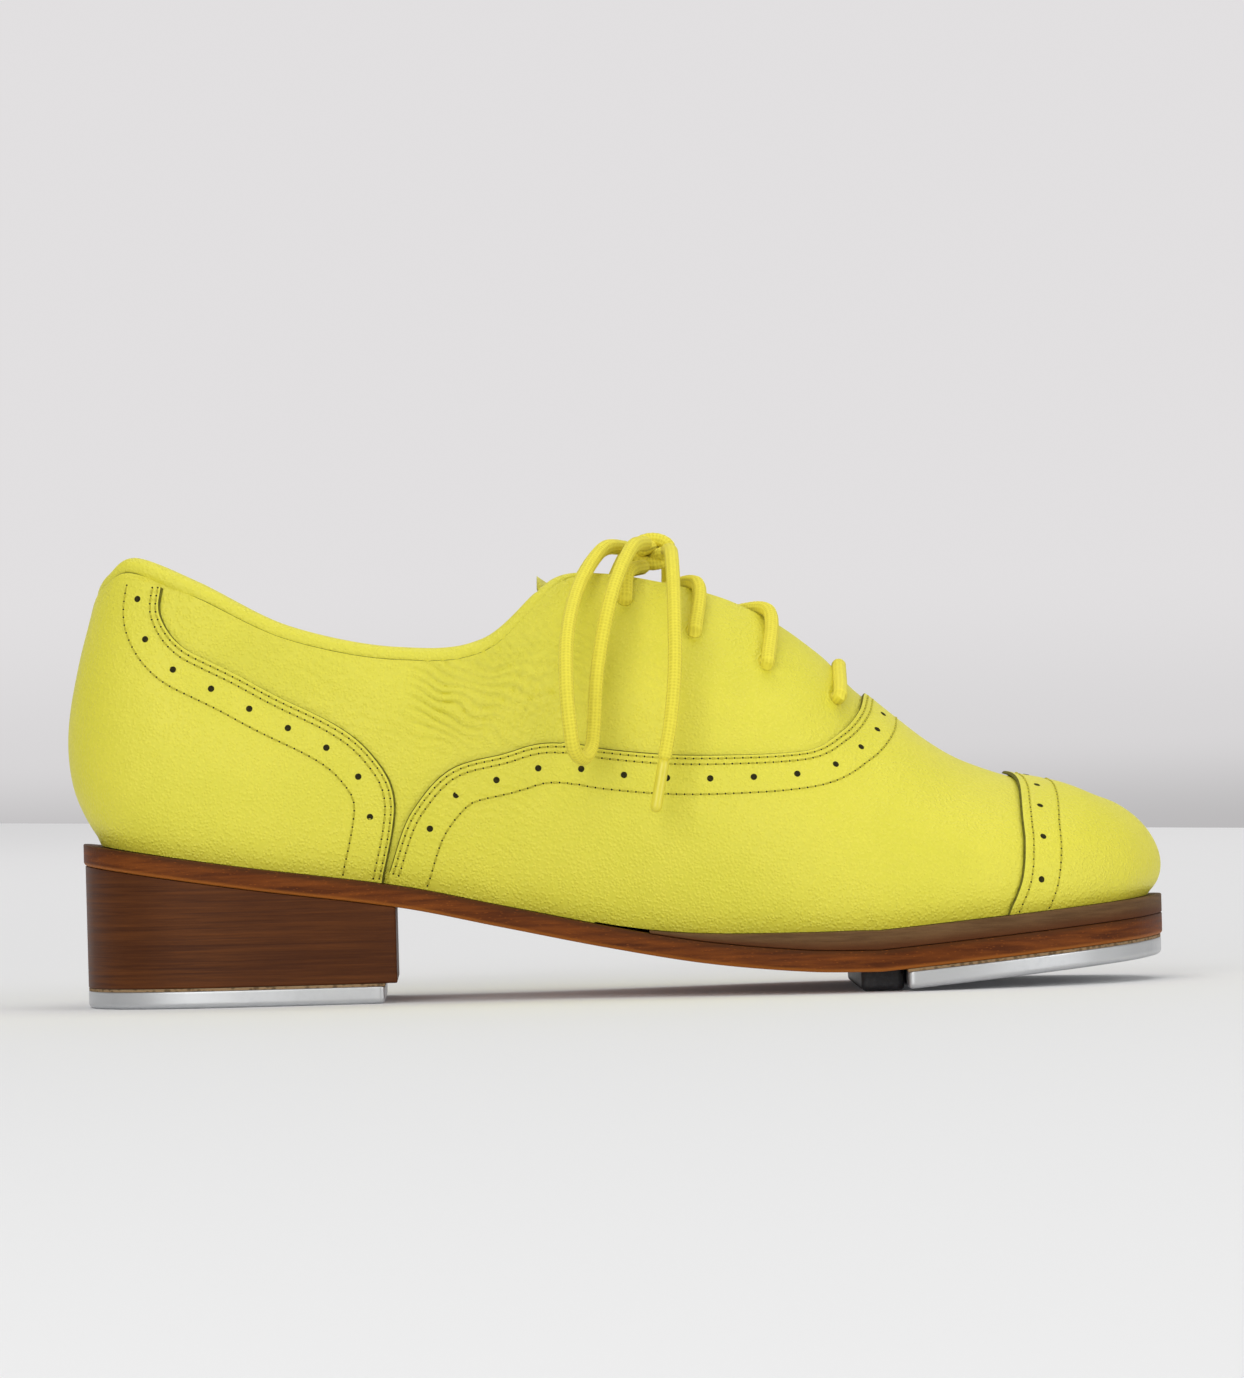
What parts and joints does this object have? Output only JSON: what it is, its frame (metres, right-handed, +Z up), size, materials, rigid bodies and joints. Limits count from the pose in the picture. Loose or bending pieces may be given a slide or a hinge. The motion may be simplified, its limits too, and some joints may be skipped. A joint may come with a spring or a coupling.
{
  "type": "tap shoe",
  "caption": "Lace-up tap oxford for the right foot: leather upper with toe cap, stacked heel, aluminium taps on heel and toe, flexing at the ball",
  "frame": {"origin": "centre of the heel tap's flat ground face, on the floor", "axes": "+X to the toe, +Y to the medial side of this right shoe, +Z up"},
  "size_m": [0.2822, 0.1042, 0.1179],
  "materials": {
    "leather": "semi-matte grained bright yellow leather",
    "lining": "smooth natural lining leather",
    "lace": "woven yellow lace",
    "sole": "burnished brown sole leather",
    "heel_stack": "dark brown fine-grained, satin",
    "tap": "satin polished aluminium",
    "steel": "plated steel",
    "rubber": "black rubber",
    "board": "compressed fibre and cork"
  },
  "bodies": {
    "rearfoot": {"vamp": "leather", "quarter_outer": "leather", "quarter_inner": "leather", "heel_foxing": "leather", "collar_roll": "leather", "tongue": "leather", "vamp_lining": "lining", "quarter_lining": "lining", "sock_liner": "lining", "lacing": "lace", "lace_knot": "lace", "bow_loop_outer": "lace", "bow_loop_inner": "lace", "lace_end_outer": "lace", "lace_end_inner": "lace", "aglet_outer": "lace", "aglet_inner": "lace", "outsole": "sole", "welt_midsole": "sole", "heel_block": "heel_stack", "heel_tap": "tap", "heel_tap_screw_1": "steel", "heel_tap_screw_2": "steel", "heel_tap_screw_3": "steel", "shank": "steel", "eyelet_outer_1": "steel", "eyelet_outer_2": "steel", "eyelet_outer_3": "steel", "eyelet_outer_4": "steel", "eyelet_inner_1": "steel", "eyelet_inner_2": "steel", "eyelet_inner_3": "steel", "eyelet_inner_4": "steel", "heel_tap_board": "board", "cork_filler": "board", "insole_board": "board", "heel_counter": "board", "facing_stay_outer": "board", "facing_stay_inner": "board"},
    "forefoot": {"toe_cap": "leather", "toe_puff": "board", "toe_tap": "tap", "toe_tap_board": "board", "ball_pad": "rubber", "toe_tap_screw_1": "steel", "toe_tap_screw_2": "steel", "toe_tap_screw_3": "steel"}
  },
  "joints": [
    {"name": "ball_flex", "type": "hinge", "parent": "rearfoot", "child": "forefoot", "pos_m": [0.141, 0, 0.012], "axis": [0, -1, 0], "range_deg": [0, 20], "stiffness_Nm_per_rad": 8, "deforming": ["outsole", "welt_midsole", "insole_board", "sock_liner", "cork_filler", "vamp", "vamp_lining", "quarter_outer", "quarter_inner", "quarter_lining", "facing_stay_outer", "facing_stay_inner", "tongue", "lacing", "eyelet_outer_1", "eyelet_inner_1", "eyelet_outer_2", "eyelet_inner_2", "eyelet_outer_3", "eyelet_inner_3"]}
  ]
}
